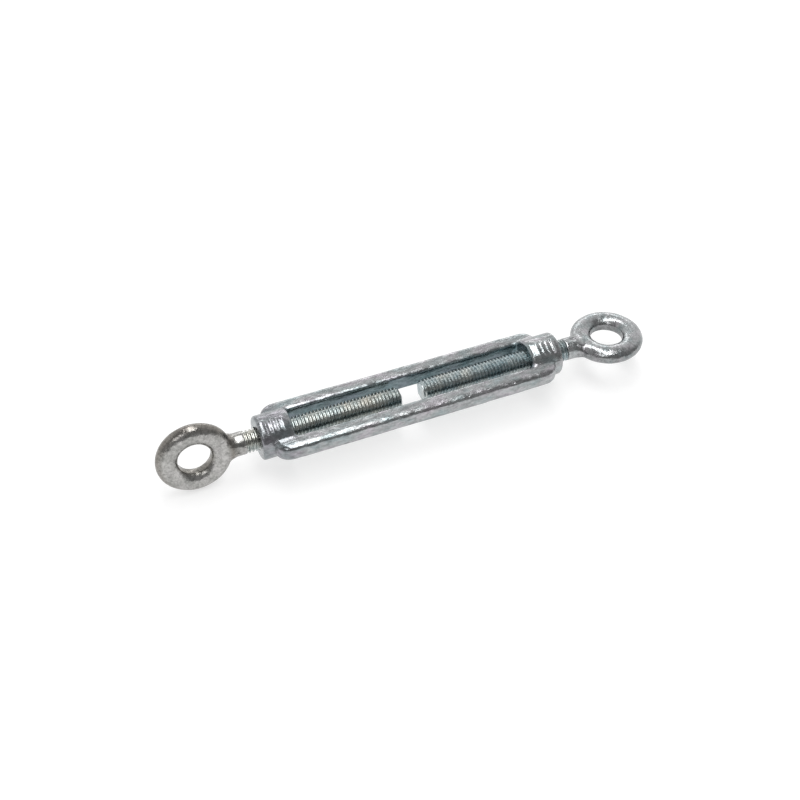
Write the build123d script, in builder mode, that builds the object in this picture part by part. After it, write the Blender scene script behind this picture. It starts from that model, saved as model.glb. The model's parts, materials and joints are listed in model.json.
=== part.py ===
from build123d import *
from math import cos, radians, sin, sqrt
import os

# Rigging turnbuckle with two forged eyes, open body, M8 threads of opposite hand.
# Origin: centre of the body, on the thread axis. +X runs along the thread axis towards
# the right-hand eyebolt, +Y across the body from leg to leg, +Z up out of the legs' plane.

# Driving dimensions of the threads, in millimetres
thread_crest_radius = 3.93
thread_pitch = 1.25
thread_depth = 0.70
crest_width = 0.16              # flat along the thread's crest
root_width = 0.20               # and along its root
rod_end_chamfer = 0.8
thread_clearance = 0.07         # radial, between the rods' crests and the boss bores
bore_mouth_chamfer = 0.5

# Driving dimensions of the body
body_length = 110.0             # over the two boss faces
rod_to_leg = 2.47               # open space between a rod's crests and a leg
leg_width = 5.8                 # across each leg, in the legs' plane
leg_height = 6.2                # up through each leg
boss_wall = 3.6                 # round the bore
boss_length = 11.5
boss_overhang = 3.4             # how far a boss stands out past the legs' ends
boss_rim_chamfer = 0.8
shoulder_radius = 5.4           # rounding of the legs' outer ends, seen from above
window_corner_radius = 1.6
leg_outer_edge_radius = 0.6     # crisp outer edges
leg_inner_edge_radius = 1.3     # softer edges round the window

# Driving dimensions of the eyes and necks
eye_hole_radius = 5.8
eye_section_width = 7.15        # from the hole's wall out to the eye's outer edge
eye_axial_thickness = 6.0
eye_inner_roundness = 0.35      # how far the oval section would reach in past the hole's wall
neck_step = 0.43                # how far the neck lies under the thread's crests
neck_cone_length = 0.4          # from the thread's crest down to the neck
plain_neck_length = 0.5
flare_length = 5.8              # over which the neck widens into the eye
flare_inside_eye = 4.6          # how much of that lies inside the eye's outer edge
flare_half_width = 5.4
flare_half_height = 2.8

# Where the eyebolts stand at rest
eye_standoff = 8.1              # right-hand boss face to the eye's outer edge
right_rod_setback = 3.8         # rod's inner end from the body's centre
left_rod_setback = 4.3
right_eye_turn = 0.0            # degrees about the thread axis, from the legs' plane
left_eye_turn = 85.0

# Worked out from the values above
half_body = body_length / 2
bore_radius = thread_crest_radius + thread_clearance
thread_root_radius = thread_crest_radius - thread_depth
boss_radius = bore_radius + boss_wall
boss_inner_face = half_body - boss_length
frame_length = body_length - 2 * boss_overhang
window_length = body_length - 2 * boss_length
window_width = 2 * (thread_crest_radius + rod_to_leg)
body_width = window_width + 2 * leg_width

eye_outer_radius = eye_hole_radius + eye_section_width
eye_section_radial = eye_section_width + eye_inner_roundness
eye_section_centre = eye_outer_radius - eye_section_radial / 2
eye_wall_share = (eye_section_centre - eye_hole_radius) / (eye_section_radial / 2)
eye_wall_length = eye_axial_thickness * sqrt(1 - eye_wall_share ** 2)

eyebolt_reach = half_body + eye_standoff + eye_outer_radius - right_rod_setback
right_eye_out = eyebolt_reach + right_rod_setback
left_eye_out = eyebolt_reach + left_rod_setback
neck_radius = thread_crest_radius - neck_step
flare_start = eyebolt_reach - eye_outer_radius + flare_inside_eye - flare_length
thread_room = flare_start - plain_neck_length - neck_cone_length - rod_end_chamfer
thread_turns = int(thread_room / thread_pitch)
thread_end = rod_end_chamfer + thread_turns * thread_pitch

print("gap between the rod ends", round(right_rod_setback + left_rod_setback, 3))
print("outward travel to the boss's inner face", round(boss_inner_face - left_rod_setback, 3))
print("eye centres at", round(-left_eye_out, 3), "and", round(right_eye_out, 3))
print("eye hole: radius", eye_hole_radius, "wall length", round(eye_wall_length, 3))


# Body: an open frame of two legs, run together into a round boss at each end
with BuildPart() as turnbuckle_body:
    with BuildSketch(Plane.XY):
        RectangleRounded(frame_length, body_width, shoulder_radius)
        RectangleRounded(window_length, window_width, window_corner_radius, mode=Mode.SUBTRACT)
    extrude(amount=leg_height / 2, both=True)
    level_faces = turnbuckle_body.faces().filter_by(Axis.Z)
    outer_rims = [edge for face in level_faces for edge in face.outer_wire().edges()]
    window_rims = [edge for face in level_faces for wire in face.inner_wires() for edge in wire.edges()]
    fillet(outer_rims, leg_outer_edge_radius)
    fillet(window_rims, leg_inner_edge_radius)

    # The bosses, one at each end of the frame
    frame_edges = turnbuckle_body.edges()
    for side in (-1, 1):
        with BuildSketch(Plane(origin=(side * boss_inner_face, 0, 0), z_dir=(side, 0, 0))):
            Circle(boss_radius)
        extrude(amount=boss_length)
    boss_seams = turnbuckle_body.edges() - frame_edges
    boss_rims = boss_seams.filter_by(GeomType.CIRCLE).group_by(Axis.X)
    chamfer(boss_rims[0] + boss_rims[-1], boss_rim_chamfer)

    # One bore runs through both bosses, chamfered where the rods enter and leave
    with BuildSketch(Plane.YZ):
        Circle(bore_radius)
    extrude(amount=half_body, both=True, mode=Mode.SUBTRACT)
    bore_mouths = turnbuckle_body.edges().filter_by(GeomType.CIRCLE).filter_by(
        lambda edge: abs(edge.radius - bore_radius) < 0.001
    )
    chamfer(bore_mouths, bore_mouth_chamfer)
turnbuckle_body.part.label = "turnbuckle_body"


def thread_outline(thread_start):
    """Points of the thread's outline along the rod, four to a pitch: crest, root, root, crest."""
    points = []
    for turn in range(thread_turns):
        ridge_start = thread_start + turn * thread_pitch
        points += [
            (ridge_start + crest_width / 2, thread_crest_radius),
            (ridge_start + thread_pitch / 2 - root_width / 2, thread_root_radius),
            (ridge_start + thread_pitch / 2 + root_width / 2, thread_root_radius),
            (ridge_start + thread_pitch - crest_width / 2, thread_crest_radius),
        ]
    return points


def make_eyebolt(side, eye_out, turn):
    """One eyebolt: side is 1 at the +X end and -1 at the -X end, turn is the eye's roll in degrees."""
    eye_centre = Vector(side * eye_out, 0, 0)
    rod_end = Vector(side * (eye_out - eyebolt_reach), 0, 0)
    eye_normal = Vector(0, -sin(radians(turn)), cos(radians(turn)))
    outwards = Vector(side, 0, 0)
    eye_plane = Plane(origin=eye_centre, x_dir=outwards, z_dir=eye_normal)
    shank_plane = Plane(origin=rod_end, x_dir=outwards, z_dir=eye_normal)

    with BuildPart() as eyebolt:
        # Shank: chamfered end, threaded length, short cone, plain neck
        with BuildSketch(shank_plane):
            with BuildLine():
                Polyline(
                    (0, 0),
                    (0, thread_crest_radius - rod_end_chamfer),
                    (rod_end_chamfer, thread_crest_radius),
                    *thread_outline(rod_end_chamfer),
                    (thread_end, thread_crest_radius),
                    (thread_end + neck_cone_length, neck_radius),
                    (flare_start, neck_radius),
                    (flare_start, 0),
                    close=True,
                )
            make_face()
        revolve(axis=Axis(rod_end, outwards))

        # Flare: the round neck widens into the eye's oval section
        neck_plane = Plane(
            origin=rod_end + outwards * flare_start,
            x_dir=eye_plane.y_dir,
            z_dir=outwards,
        )
        with BuildSketch(neck_plane):
            Circle(neck_radius)
        with BuildSketch(neck_plane.offset(flare_length)):
            Ellipse(flare_half_width, flare_half_height)
        loft()

        # Eye: an oval section wound round the eye's centre, its inner wall cut to the hole
        with BuildSketch(Plane(origin=eye_centre, x_dir=outwards, z_dir=eye_plane.y_dir)):
            with Locations((eye_section_centre, 0)):
                Ellipse(eye_section_radial / 2, eye_axial_thickness / 2)
            Rectangle(2 * eye_hole_radius, eye_axial_thickness, mode=Mode.SUBTRACT)
        revolve(axis=Axis(eye_centre, eye_normal))
    return eyebolt


eyebolt_right = make_eyebolt(1, right_eye_out, right_eye_turn)
eyebolt_right.part.label = "eyebolt_right"

eyebolt_left = make_eyebolt(-1, left_eye_out, left_eye_turn)
eyebolt_left.part.label = "eyebolt_left"

os.makedirs("parts", exist_ok=True)
export_step(turnbuckle_body.part, "parts/turnbuckle_body.step")
export_step(eyebolt_right.part, "parts/eyebolt_right.step")
export_step(eyebolt_left.part, "parts/eyebolt_left.step")
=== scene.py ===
import json
from math import pi, radians

import bpy
from mathutils import Matrix, Vector


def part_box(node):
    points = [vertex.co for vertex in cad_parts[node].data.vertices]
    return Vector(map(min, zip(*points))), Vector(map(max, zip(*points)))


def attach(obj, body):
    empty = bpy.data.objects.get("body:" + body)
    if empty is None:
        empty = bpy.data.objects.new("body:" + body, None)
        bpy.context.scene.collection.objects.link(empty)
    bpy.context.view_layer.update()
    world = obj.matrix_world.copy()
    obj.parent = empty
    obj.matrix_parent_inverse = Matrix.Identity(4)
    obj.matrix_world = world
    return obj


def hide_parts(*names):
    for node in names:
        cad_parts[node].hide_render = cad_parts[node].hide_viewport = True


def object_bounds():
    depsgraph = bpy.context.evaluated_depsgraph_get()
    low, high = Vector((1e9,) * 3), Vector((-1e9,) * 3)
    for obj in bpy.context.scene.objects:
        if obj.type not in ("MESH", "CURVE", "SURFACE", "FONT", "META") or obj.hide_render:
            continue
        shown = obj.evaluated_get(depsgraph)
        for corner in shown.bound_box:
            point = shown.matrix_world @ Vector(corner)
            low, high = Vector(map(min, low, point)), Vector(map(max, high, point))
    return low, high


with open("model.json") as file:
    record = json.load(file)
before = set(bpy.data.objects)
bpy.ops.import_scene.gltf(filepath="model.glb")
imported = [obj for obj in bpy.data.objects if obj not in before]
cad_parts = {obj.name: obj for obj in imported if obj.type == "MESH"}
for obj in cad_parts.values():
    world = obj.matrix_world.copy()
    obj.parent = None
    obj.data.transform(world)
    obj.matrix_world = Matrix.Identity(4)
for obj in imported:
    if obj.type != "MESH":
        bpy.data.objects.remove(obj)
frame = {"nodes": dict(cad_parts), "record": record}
cadBox = [list(corner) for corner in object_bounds()]
mm = 0.001
print("frame loaded:", sorted(frame["nodes"]))

bodyLow, bodyHigh = [Vector(corner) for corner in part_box("turnbuckle_body")]
mounts = {mount["name"]: mount for mount in frame["record"]["mounts"]}


def deselectAll():
    if bpy.context.object and bpy.context.object.mode != "OBJECT":
        bpy.ops.object.mode_set(mode="OBJECT")
    bpy.ops.object.select_all(action="DESELECT")


def pick(thing):
    deselectAll()
    thing.select_set(True)
    bpy.context.view_layer.objects.active = thing


def editAll(thing):
    pick(thing)
    bpy.ops.object.mode_set(mode="EDIT")
    bpy.ops.mesh.select_all(action="SELECT")


def leaveEdit():
    bpy.ops.object.mode_set(mode="OBJECT")


def named(name):
    thing = bpy.context.object
    thing.name = name
    thing.data.name = name
    return thing


def seat(thing):
    # its place goes into the mesh, so the object itself is at the origin
    pick(thing)
    bpy.ops.object.transform_apply(location=True, rotation=True, scale=True)
    return thing


def applyModifier(thing, kind, **settings):
    pick(thing)
    modifier = thing.modifiers.new(kind.lower(), kind)
    for key, value in settings.items():
        setattr(modifier, key, value)
    bpy.ops.object.modifier_apply(modifier=modifier.name)


def cutWith(thing, cutter):
    applyModifier(thing, "BOOLEAN", operation="DIFFERENCE", object=cutter, solver="EXACT")
    bpy.data.objects.remove(cutter, do_unlink=True)


def joinAll(first, others):
    pick(first)
    for other in others:
        other.select_set(True)
    bpy.ops.object.join()


def closeUp(thing):
    # slivers and pinholes left by a cut are merged or filled, and the faces turned outwards
    editAll(thing)
    bpy.ops.mesh.remove_doubles(threshold=0.02 * mm)
    bpy.ops.mesh.dissolve_degenerate(threshold=0.01 * mm)
    bpy.ops.mesh.select_all(action="SELECT")
    bpy.ops.mesh.fill_holes(sides=0)
    bpy.ops.mesh.select_all(action="SELECT")
    bpy.ops.mesh.normals_make_consistent(inside=False)
    leaveEdit()


def finishSurface(thing, creaseAngle, skin):
    pick(thing)
    bpy.ops.object.shade_smooth_by_angle(angle=creaseAngle)
    thing.data.materials.clear()
    thing.data.materials.append(skin)


def bevelEdges(thing, radius, segments, test):
    # edges are chosen in object mode by their two ends, then edit mode opens on them
    pick(thing)
    bpy.ops.object.mode_set(mode="EDIT")
    bpy.ops.mesh.select_mode(type="EDGE")
    bpy.ops.mesh.select_all(action="DESELECT")
    leaveEdit()
    points = thing.data.vertices
    for edge in thing.data.edges:
        edge.select = test(points[edge.vertices[0]].co, points[edge.vertices[1]].co)
    bpy.ops.object.mode_set(mode="EDIT")
    bpy.ops.mesh.bevel(offset=radius, segments=segments, affect="EDGES")
    leaveEdit()


def plainBlock(name, length, width, height):
    deselectAll()
    bpy.ops.mesh.primitive_cube_add(size=1)
    block = named(name)
    block.scale = (length, width, height)
    return seat(block)


def rodAlongX(name, radius, start, end, sides=64):
    deselectAll()
    bpy.ops.mesh.primitive_cylinder_add(
        vertices=sides, radius=radius, depth=abs(end - start),
        location=((start + end) / 2, 0, 0), rotation=(0, pi / 2, 0),
    )
    return seat(named(name))


def ovalBall(name, radius, stretch, middle, segments):
    deselectAll()
    bpy.ops.mesh.primitive_uv_sphere_add(segments=segments, ring_count=segments // 2, radius=radius)
    ball = named(name)
    ball.scale = stretch
    ball.location = middle
    return seat(ball)


def unevenSkin(thing, size, depth):
    # slow unevenness of the cast or forged skin
    uneven = bpy.data.textures.new(thing.name + " skin", "CLOUDS")
    uneven.noise_scale = size
    applyModifier(thing, "DISPLACE", texture=uneven, strength=depth, mid_level=0.5, texture_coords="LOCAL")


def grey(level):
    return (level, level, level)


def colourRamp(tree, source, stops):
    node = tree.nodes.new("ShaderNodeValToRGB")
    while len(node.color_ramp.elements) < len(stops):
        node.color_ramp.elements.new(0.5)
    for element, (position, colour) in zip(node.color_ramp.elements, stops):
        element.position = position
        element.color = (*colour, 1)
    tree.links.new(source, node.inputs["Fac"])
    return node.outputs["Color"]


def mixColours(tree, kind, share, first, second):
    node = tree.nodes.new("ShaderNodeMix")
    node.data_type = "RGBA"
    node.blend_type = kind
    for socket, value in (("Factor", share), ("A", first), ("B", second)):
        if isinstance(value, (float, tuple)):
            node.inputs[socket].default_value = value
        else:
            tree.links.new(value, node.inputs[socket])
    return node.outputs["Result"]


def calculate(tree, operation, first, second=None):
    node = tree.nodes.new("ShaderNodeMath")
    node.operation = operation
    tree.links.new(first, node.inputs[0])
    if isinstance(second, float):
        node.inputs[1].default_value = second
    elif second is not None:
        tree.links.new(second, node.inputs[1])
    return node.outputs[0]


def between(tree, source, start, stop):
    # 0 at the start, 1 at the stop
    node = tree.nodes.new("ShaderNodeMapRange")
    node.inputs["From Min"].default_value = start
    node.inputs["From Max"].default_value = stop
    tree.links.new(source, node.inputs["Value"])
    return node.outputs["Result"]


def splitAxes(tree, source):
    split = tree.nodes.new("ShaderNodeSeparateXYZ")
    tree.links.new(source, split.inputs[0])
    return split.outputs


def zincPlating(name, finish, eyeMiddle=None):
    material = bpy.data.materials.new(name)
    material.use_nodes = True
    tree = material.node_tree
    shader = tree.nodes["Principled BSDF"]
    shader.inputs["Metallic"].default_value = 1.0
    place = tree.nodes.new("ShaderNodeTexCoord").outputs["Object"]
    drawn = tree.nodes.new("ShaderNodeMapping")
    drawn.inputs["Scale"].default_value = (finish["stretch"], 1, 1)
    tree.links.new(place, drawn.inputs["Vector"])

    def noise(scale, detail, roughness=0.55):
        node = tree.nodes.new("ShaderNodeTexNoise")
        node.inputs["Scale"].default_value = scale
        node.inputs["Detail"].default_value = detail
        node.inputs["Roughness"].default_value = roughness
        tree.links.new(drawn.outputs["Vector"], node.inputs["Vector"])
        return node.outputs["Fac"]

    def bump(strength, depth, height, under=None):
        node = tree.nodes.new("ShaderNodeBump")
        node.inputs["Strength"].default_value = strength
        node.inputs["Distance"].default_value = depth
        tree.links.new(height, node.inputs["Height"])
        if under:
            tree.links.new(under, node.inputs["Normal"])
        return node.outputs["Normal"]

    def shade(colour, source, stops, share=1.0):
        return mixColours(tree, "MULTIPLY", share, colour, colourRamp(tree, source, stops))

    # passivated zinc drifts between blue-green, grey and lilac over a few millimetres
    colour = colourRamp(tree, noise(finish["driftScale"], 3.0), finish["drift"])
    colour = shade(colour, noise(finish["mottleScale"], 6.0, 0.65), finish["mottle"])
    colour = shade(colour, noise(finish["grimeScale"], 8.0, 0.7), finish["grime"], finish["grimeShare"])
    if finish["window"]:
        # painted shade and painted reflection: the faces that look into the window are darkened and tinted
        # teal
        axes = splitAxes(tree, place)
        shares = [
            between(tree, calculate(tree, "ABSOLUTE", axes[axis]), *finish["window"][axis]) for axis in "YX"
        ]
        clearOfPaintedShade = calculate(tree, "MAXIMUM", *shares)
        colour = shade(colour, clearOfPaintedShade, [(0.0, finish["windowPaintedShade"]), (1.0, grey(1.0))])
        # and the casting's colour is darker at its left end
        fromLeft = between(tree, axes["X"], *finish["darkerEnd"])
        colour = shade(colour, fromLeft, [(0.0, finish["endTone"]), (1.0, grey(1.0))])
    if eyeMiddle:
        # painted shade: the rim of the eye and the wall of its hole are darkened, the faces between keep
        # their full colour
        apart = tree.nodes.new("ShaderNodeVectorMath")
        apart.operation = "DISTANCE"
        tree.links.new(place, apart.inputs[0])
        apart.inputs[1].default_value = eyeMiddle
        reach = calculate(tree, "DIVIDE", apart.outputs["Value"], finish["eyeRingShadeReach"])
        colour = shade(colour, reach, finish["eyeRingShade"])
    tree.links.new(colour, shader.inputs["Base Color"])

    sheen = colourRamp(tree, noise(finish["mottleScale"] * 0.6, 4.0), finish["polish"])
    tree.links.new(sheen, shader.inputs["Roughness"])

    # long soft swells of the casting under a fine pitted skin
    swell = bump(finish["swellStrength"], finish["swellDepth"], noise(finish["swellScale"], 3.0))
    pits = bump(finish["pitStrength"], finish["pitDepth"], noise(finish["pitScale"], 6.0, 0.6), swell)
    tree.links.new(pits, shader.inputs["Normal"])
    return material


castZinc = {
    "stretch": 0.45,  # below 1 draws the pattern out along the body
    "drift": [(0.34, (0.36, 0.41, 0.42)), (0.5, (0.43, 0.445, 0.45)), (0.66, (0.49, 0.47, 0.50))],
    "driftScale": 260, "mottleScale": 1100, "mottle": [(0.38, grey(0.7)), (0.58, grey(1.0))],
    "grimeScale": 600, "grime": [(0.42, grey(0.4)), (0.5, grey(1.0))], "grimeShare": 0.3,
    "polish": [(0.35, grey(0.15)), (0.65, grey(0.32))],
    "swellScale": 430, "swellStrength": 0.75, "swellDepth": 0.36 * mm,
    "pitScale": 1300, "pitStrength": 0.5, "pitDepth": 0.12 * mm,
    # the window span and its tone paint shade and a teal reflection on the faces that look into the window
    "window": {"Y": (6.2 * mm, 7.4 * mm), "X": (42.8 * mm, 44.2 * mm)}, "windowPaintedShade": (0.40, 0.54, 0.58),
    "darkerEnd": (-47 * mm, -42 * mm), "endTone": (0.74, 0.75, 0.77),
}
threadZinc = {
    "stretch": 1.0,
    "drift": [(0.3, (0.46, 0.53, 0.54)), (0.5, (0.58, 0.61, 0.59)), (0.7, (0.66, 0.65, 0.60))],
    "driftScale": 160, "mottleScale": 1100, "mottle": [(0.38, grey(0.72)), (0.58, grey(1.0))],
    "grimeScale": 500, "grime": [(0.42, grey(0.45)), (0.53, grey(1.0))], "grimeShare": 0.35,
    "polish": [(0.3, grey(0.2)), (0.7, grey(0.34))],
    "swellScale": 300, "swellStrength": 0.15, "swellDepth": 0.2 * mm,
    "pitScale": 1500, "pitStrength": 0.3, "pitDepth": 0.06 * mm,
    "window": None,
}
coolThreadZinc = dict(
    threadZinc,
    drift=[(0.3, (0.42, 0.51, 0.54)), (0.5, (0.54, 0.60, 0.61)), (0.7, (0.63, 0.65, 0.63))],
)
forgedZinc = dict(
    castZinc, stretch=1.0, swellScale=380, swellStrength=0.6, window=None, eyeRingShadeReach=20 * mm,
    # this ramp paints shade on the rim of the eye and on the wall of its hole
    eyeRingShade=[
        (0.30, grey(0.66)), (0.35, grey(1.0)), (0.57, grey(1.0)), (0.645, grey(0.72)), (0.75, grey(1.0)),
    ],
    drift=[(0.34, (0.39, 0.43, 0.44)), (0.5, (0.46, 0.475, 0.48)), (0.66, (0.51, 0.50, 0.52))],
)
# the left eye's warmer tone is its own tarnish; its ramp paints a browner shade on the rim and the hole
# wall
tarnishedShadedZinc = dict(
    forgedZinc, grimeShare=0.35,
    eyeRingShade=[
        (0.30, (0.60, 0.58, 0.55)), (0.36, grey(1.0)), (0.56, grey(1.0)),
        (0.64, (0.60, 0.57, 0.54)), (0.75, grey(0.9)),
    ],
    drift=[(0.34, (0.40, 0.40, 0.385)), (0.5, (0.47, 0.465, 0.45)), (0.66, (0.53, 0.52, 0.51))],
)
castSkin = zincPlating("cast zinc", castZinc)
leftThreadSkin = zincPlating("thread zinc", threadZinc)
rightThreadSkin = zincPlating("cool thread zinc", coolThreadZinc)
rightEyeSkin = zincPlating("forged zinc", forgedZinc, mounts["right_eye"]["pos_m"])
leftEyeSkin = zincPlating("tarnished zinc with painted shade", tarnishedShadedZinc, mounts["left_eye"]["pos_m"])
print("finishes mixed")


openBody = {
    "legWidth": 5.8 * mm, "legHeight": 6.2 * mm, "outerEdge": 2.0 * mm, "innerEdge": 1.2 * mm,
    "shoulderRadius": 5.4 * mm, "windowCorner": 1.6 * mm,
    "bossLength": 11.5 * mm, "bossOverhang": 3.4 * mm, "bossRadius": bodyHigh.z, "bossRim": 1.0 * mm,
    "boreRadius": 4.05 * mm, "borePast": 70 * mm,
    "skinGrain": 0.3 * mm, "unevenSize": 7 * mm, "unevenDepth": 0.22 * mm,
    "blendPasses": 45, "blendFrom": 39 * mm, "blendTo": 52.5 * mm, "fadeIn": 5 * mm, "fadeOut": 1.5 * mm,
    "ribs": 4, "firstRib": 2.7 * mm, "ribGap": 1.9 * mm, "ribLean": radians(26),
    "ribSize": (0.8 * mm, 5.2 * mm, 1.0 * mm), "ribEdge": 0.25 * mm, "ribSink": 0.15 * mm,
    "nicks": ((16.5 * mm, -1, 0.55 * mm), (33.5 * mm, -1, 0.7 * mm), (-21 * mm, 1, 0.6 * mm)),
    "nickStretch": 1.5, "nickInset": 0.5 * mm, "nickDrop": 0.1 * mm,
}
hair = 0.01 * mm  # two places nearer than this count as one


def roundedBlock(name, length, width, height, cornerRadius):
    block = plainBlock(name, length, width, height)
    bevelEdges(block, cornerRadius, 10, lambda one, two: (one - two).xy.length < hair)
    return block


def raisedRib(x):
    # a plain grip rib of the casting, standing on the boss
    spec = openBody
    rib = plainBlock("rib", *spec["ribSize"])
    applyModifier(rib, "BEVEL", width=spec["ribEdge"], segments=3)
    lean = Matrix.Rotation(spec["ribLean"], 4, "X")
    rib.data.transform(lean @ Matrix.Translation((x, 0, spec["bossRadius"] - spec["ribSink"])))
    return rib


def buildBody():
    spec = openBody
    halfLength = bodyHigh.x
    width = bodyHigh.y - bodyLow.y
    rimHeight = spec["legHeight"] / 2
    windowEnd = halfLength - spec["bossLength"]
    windowSide = width / 2 - spec["legWidth"]

    frameLength = 2 * (halfLength - spec["bossOverhang"])
    body = roundedBlock(
        "turnbuckle_body_cast", frameLength, width, spec["legHeight"], spec["shoulderRadius"]
    )

    def onRim(one, two):
        level = abs(one.z - two.z) < hair
        return level and abs(abs(one.z) - rimHeight) < hair

    def onWindowRim(one, two):
        inside = all(abs(end.x) < windowEnd + hair and abs(end.y) < windowSide + hair for end in (one, two))
        return inside and onRim(one, two)

    bevelEdges(body, spec["outerEdge"], 6, onRim)
    through = 20 * mm
    window = roundedBlock("window", 2 * windowEnd, 2 * windowSide, through, spec["windowCorner"])
    cutWith(body, window)
    bevelEdges(body, spec["innerEdge"], 6, onWindowRim)

    pieces = []
    for side in (-1, 1):
        boss = rodAlongX("boss", spec["bossRadius"], side * windowEnd, side * halfLength)
        applyModifier(
            boss, "BEVEL", width=spec["bossRim"], segments=4, limit_method="ANGLE", angle_limit=radians(60)
        )
        pieces.append(boss)
        for rib in range(spec["ribs"]):
            pieces.append(raisedRib(side * (halfLength - spec["firstRib"] - rib * spec["ribGap"])))
    joinAll(body, pieces)
    applyModifier(body, "REMESH", mode="VOXEL", voxel_size=spec["skinGrain"], use_smooth_shade=True)

    # the casting's corners run together where the legs meet the bosses, and stay crisp along the legs
    ends = body.vertex_groups.new(name="ends")
    for point in body.data.vertices:
        past = (abs(point.co.x) - spec["blendFrom"]) / spec["fadeIn"]
        before = (spec["blendTo"] - abs(point.co.x)) / spec["fadeOut"]
        ends.add([point.index], min(max(min(past, before), 0.0), 1.0), "REPLACE")
    applyModifier(body, "SMOOTH", factor=0.5, iterations=spec["blendPasses"], vertex_group="ends")
    applyModifier(body, "SMOOTH", factor=0.4, iterations=1)
    unevenSkin(body, spec["unevenSize"], spec["unevenDepth"])

    for x, leg, size in spec["nicks"]:
        middle = (x, leg * (width / 2 - spec["nickInset"]), rimHeight - spec["nickDrop"])
        cutWith(body, ovalBall("nick", size, (spec["nickStretch"], 1, 1), middle, 24))
    cutWith(body, rodAlongX("bore", spec["boreRadius"], -spec["borePast"], spec["borePast"]))
    closeUp(body)
    finishSurface(body, radians(50), castSkin)
    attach(body, "body")
    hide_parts("turnbuckle_body")
    return body


body = buildBody()
print("body cast:", len(body.data.polygons), "faces")


eyebolt = {
    "holeRadius": 5.8 * mm, "outerRadius": 12.95 * mm, "thickness": 6.0 * mm, "pastWall": 0.35 * mm,
    "reach": 72.25 * mm,  # from the middle of the eye to the rod's inner end
    "neckRadius": 4.0 * mm, "neckOverlap": 1.9 * mm, "flareStart": 0.7 * mm, "flareInside": 3.6 * mm,
    "flareWidth": 6.6 * mm, "flareHeight": 2.8 * mm,
    "hollow": (2.6 * mm, 1.9 * mm, 1.3 * mm), "hollowDepth": 0.65 * mm, "hollowPast": 0.9 * mm,
    "skinGrain": 0.3 * mm, "unevenSize": 6 * mm, "unevenDepth": 0.2 * mm,
    "blendPasses": 16, "forkInset": 0.6 * mm, "forkReach": 4.5 * mm, "forkFirmness": 1.6,
    "forkSide": 9 * mm,
}
thread = {
    "crestRadius": 3.93 * mm, "rootRadius": 3.23 * mm, "pitch": 1.25 * mm,
    "crestWidth": 0.16 * mm, "rootWidth": 0.20 * mm, "length": 57.05 * mm, "endChamfer": 0.8 * mm,
    "steps": 40, "spareTurns": 3, "leadIn": 1.487,  # turns wound before the rod starts, then cut off
}


def windThread(name, rodEnd, side, hand, skin):
    # one pitch of the profile, extruded point by point, then wound along the rod
    spec = thread
    pitch = spec["pitch"]
    flank = (pitch - spec["crestWidth"] - spec["rootWidth"]) / 4
    drop = (spec["crestRadius"] - spec["rootRadius"]) / 2
    start = min(rodEnd, rodEnd + side * spec["length"])
    deselectAll()
    bpy.ops.mesh.primitive_plane_add(size=2 * mm)
    rod = named(name)
    bpy.ops.object.mode_set(mode="EDIT")
    bpy.ops.mesh.select_mode(type="VERT")
    bpy.ops.mesh.merge(type="CENTER")
    bpy.ops.transform.translate(value=(start - spec["leadIn"] * pitch, 0, spec["crestRadius"]))
    profile = (
        (spec["crestWidth"], 0), (flank, -drop), (flank, -drop),
        (spec["rootWidth"], 0), (flank, drop), (flank, drop),
    )
    for along, up in profile:
        bpy.ops.mesh.extrude_region_move(TRANSFORM_OT_translate={"value": (along, 0, up)})
    leaveEdit()
    seat(rod)
    applyModifier(
        rod, "SCREW", axis="X", angle=radians(360) * hand, screw_offset=pitch,
        iterations=int(spec["length"] / pitch) + spec["spareTurns"],
        steps=spec["steps"], render_steps=spec["steps"],
    )
    editAll(rod)
    bpy.ops.mesh.remove_doubles(threshold=0.004 * mm)
    leaveEdit()
    for cutAt, outwards in ((start, -1), (start + spec["length"], 1)):
        editAll(rod)
        bpy.ops.mesh.bisect(plane_co=(cutAt, 0, 0), plane_no=(outwards, 0, 0), clear_outer=True)
        leaveEdit()

    # chamfer at the rod's inner end, short cone at the neck
    for point in rod.data.vertices:
        fromEnd = abs(point.co.x - rodEnd)
        fromNeck = max(spec["length"] - fromEnd, 0.0)
        limit = min(spec["crestRadius"] - spec["endChamfer"] + fromEnd, spec["rootRadius"] + fromNeck)
        radius = point.co.yz.length
        if radius > limit:
            point.co.y *= limit / radius
            point.co.z *= limit / radius
    closeUp(rod)
    finishSurface(rod, radians(28), skin)
    return rod


def flaredNeck(side):
    # a cylinder whose far end is spread wide and pressed flat inside the eye
    spec = eyebolt
    neckStart = -side * (spec["reach"] - thread["length"] + spec["neckOverlap"])
    neckEnd = -side * (spec["outerRadius"] - spec["flareInside"])
    neck = rodAlongX("neck", spec["neckRadius"], neckStart, neckEnd)
    editAll(neck)
    spread = -side * (spec["outerRadius"] + spec["flareStart"])
    bpy.ops.mesh.bisect(plane_co=(spread, 0, 0), plane_no=(1, 0, 0))
    leaveEdit()
    for point in neck.data.vertices:
        if abs(point.co.x - neckEnd) < hair:
            point.co.y *= spec["flareWidth"] / spec["neckRadius"]
            point.co.z *= spec["flareHeight"] / spec["neckRadius"]
    return neck


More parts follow.
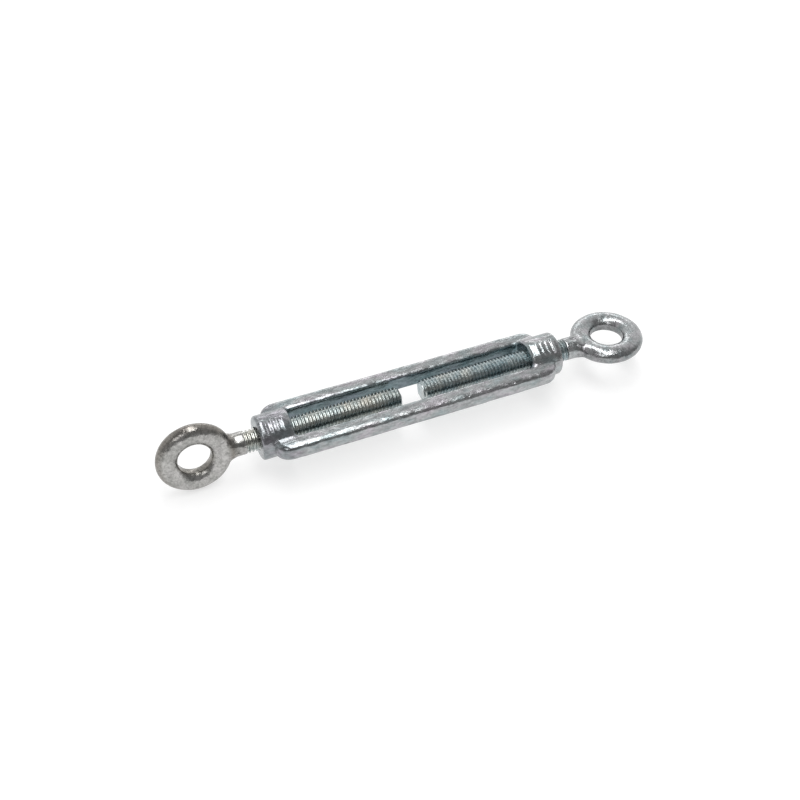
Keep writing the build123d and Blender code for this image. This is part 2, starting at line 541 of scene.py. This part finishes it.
def forgeEye(name, mount, side, skin):
    spec = eyebolt
    section = spec["outerRadius"] - spec["holeRadius"] + spec["pastWall"]
    deselectAll()
    bpy.ops.mesh.primitive_torus_add(
        major_radius=spec["outerRadius"] - section / 2, minor_radius=section / 2,
        major_segments=96, minor_segments=32,
    )
    eye = named(name)
    eye.scale.z = spec["thickness"] / section
    seat(eye)
    joinAll(eye, [flaredNeck(side)])
    applyModifier(eye, "REMESH", mode="VOXEL", voxel_size=spec["skinGrain"], use_smooth_shade=True)

    # a shallow hollow on each face, where the neck parts into the ring
    lift = spec["neckRadius"] - spec["hollowDepth"] + spec["hollow"][2]
    for face in (-1, 1):
        middle = (-side * (spec["outerRadius"] + spec["hollowPast"]), 0, face * lift)
        cutWith(eye, ovalBall("hollow", 1, spec["hollow"], middle, 32))
    fork = eye.vertex_groups.new(name="fork")
    for point in eye.data.vertices:
        away = abs(abs(point.co.x) - spec["outerRadius"] + spec["forkInset"]) / spec["forkReach"]
        onNeckSide = point.co.x * side < 0 and abs(point.co.y) < spec["forkSide"]
        weight = min(max((1 - away) * spec["forkFirmness"], 0.0), 1.0) if onNeckSide else 0.0
        fork.add([point.index], weight, "REPLACE")
    applyModifier(eye, "SMOOTH", factor=0.5, iterations=spec["blendPasses"], vertex_group="fork")
    applyModifier(eye, "SMOOTH", factor=0.5, iterations=2)
    hole = rodAlongX("hole", spec["holeRadius"], -10 * mm, 10 * mm, 96)
    hole.data.transform(Matrix.Rotation(pi / 2, 4, "Y"))
    cutWith(eye, hole)
    closeUp(eye)

    # the ring is made flat at the origin, then rolled and carried to its place
    roll = Vector((0, 0, 1)).rotation_difference(Vector(mount["axis"])).to_matrix().to_4x4()
    eye.data.transform(Matrix.Translation(Vector(mount["pos_m"])) @ roll)
    unevenSkin(eye, spec["unevenSize"], spec["unevenDepth"])
    finishSurface(eye, radians(50), skin)
    return eye


def buildEyebolt(node, bodyName, mount, side, eyeSkin, threadSkin):
    # side is 1 at the right, with a right-hand thread, and -1 at the left, with a left-hand one
    rodEnd = mount["pos_m"][0] - side * eyebolt["reach"]
    eye = forgeEye(node + "_eye", mount, side, eyeSkin)
    rod = windThread(node + "_thread", rodEnd, side, side, threadSkin)
    for piece in (eye, rod):
        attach(piece, bodyName)
    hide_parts(node)


buildEyebolt("eyebolt_right", "right_eyebolt", mounts["right_eye"], 1, rightEyeSkin, rightThreadSkin)
buildEyebolt("eyebolt_left", "left_eyebolt", mounts["left_eye"], -1, leftEyeSkin, leftThreadSkin)
print("eyebolts forged and threaded")


stage = {
    "floorSize": 6.0, "floorGrey": 0.5, "floorGlow": 0.6, "floorGap": 0.1 * mm, "distance": 0.88,
    "sky": [
        (0.0, grey(0.95)), (0.12, grey(0.95)), (0.35, grey(0.88)),
        (0.72, grey(0.88)), (0.86, grey(0.5)), (1.0, grey(0.4)),
    ],
    "room": [(0.0, grey(0.3)), (0.35, grey(0.38)), (0.6, grey(1.0)), (1.0, grey(1.0))],
}


def layFloor():
    deselectAll()
    low = cadBox[0][2] - stage["floorGap"]
    bpy.ops.mesh.primitive_plane_add(size=stage["floorSize"], location=(0, 0, low))
    floor = seat(named("floor"))
    material = bpy.data.materials.new("white paper")
    material.use_nodes = True
    tree = material.node_tree
    paper = tree.nodes["Principled BSDF"]
    paper.inputs["Base Color"].default_value = (*grey(stage["floorGrey"]), 1)
    paper.inputs["Roughness"].default_value = 0.9
    paper.inputs["Specular IOR Level"].default_value = 0.0
    paper.inputs["Emission Color"].default_value = (1, 1, 1, 1)
    path = tree.nodes.new("ShaderNodeLightPath").outputs
    seen = calculate(tree, "MAXIMUM", path["Is Camera Ray"], path["Is Glossy Ray"])
    seen = calculate(tree, "MAXIMUM", seen, path["Is Transmission Ray"])
    glow = calculate(tree, "MULTIPLY", seen, stage["floorGlow"])
    tree.links.new(glow, paper.inputs["Emission Strength"])
    floor.data.materials.append(material)


def hangSky():
    world = bpy.data.worlds.new("studio")
    bpy.context.scene.world = world
    world.use_nodes = True
    tree = world.node_tree
    axes = splitAxes(tree, tree.nodes.new("ShaderNodeTexCoord").outputs["Generated"])

    # the room is pale at the back and dim on the near side, and behind the floor it has the floor's tone
    sky = colourRamp(tree, axes["Z"], stage["sky"])
    across = colourRamp(tree, between(tree, axes["Y"], -1, 1), stage["room"])
    room = mixColours(tree, "MULTIPLY", 1.0, sky, across)
    seen = tree.nodes.new("ShaderNodeLightPath").outputs["Is Camera Ray"]
    room = mixColours(tree, "MIX", seen, room, (*grey(stage["distance"]), 1))
    tree.links.new(room, tree.nodes["Background"].inputs["Color"])


lamps = {
    "overhead": {"place": (0.05, 0.0, 0.75), "size": (0.9, 0.22), "power": 3.2},
    "front": {"place": (-0.45, -0.6, 0.75), "size": (0.3, 0.3), "power": 1.0},
    "back": {"place": (0.3, 0.75, 0.28), "size": (0.8, 0.1), "power": 0.7},
}


def hangLamp(name, spec):
    lamp = bpy.data.lights.new(name, "AREA")
    lamp.shape = "RECTANGLE"
    lamp.size, lamp.size_y = spec["size"]
    lamp.energy = spec["power"]
    holder = bpy.data.objects.new(name, lamp)
    bpy.context.collection.objects.link(holder)
    holder.location = spec["place"]
    holder.rotation_euler = (-Vector(spec["place"])).to_track_quat("-Z", "Y").to_euler()


viewpoint = {
    "heading": 22.38, "downwards": 42.68, "roll": -0.61,
    "distance": 0.4522, "aside": 3.56 * mm, "above": 2.02 * mm, "lens": 59.6, "sensor": 36,
}


def setCamera():
    spec = viewpoint
    turn = (
        Matrix.Rotation(radians(-spec["heading"]), 4, "Z")
        @ Matrix.Rotation(radians(90 - spec["downwards"]), 4, "X")
        @ Matrix.Rotation(radians(spec["roll"]), 4, "Z")
    )
    camera = bpy.data.objects.new("camera", bpy.data.cameras.new("camera"))
    bpy.context.collection.objects.link(camera)
    camera.matrix_world = turn @ Matrix.Translation((-spec["aside"], -spec["above"], spec["distance"]))
    camera.data.lens = spec["lens"]
    camera.data.sensor_width = spec["sensor"]
    camera.data.clip_start = 0.01
    bpy.context.scene.camera = camera


layFloor()
hangSky()
for name, spec in lamps.items():
    hangLamp(name, spec)
setCamera()
bpy.context.scene.view_settings.view_transform = "Standard"
print("stage set")
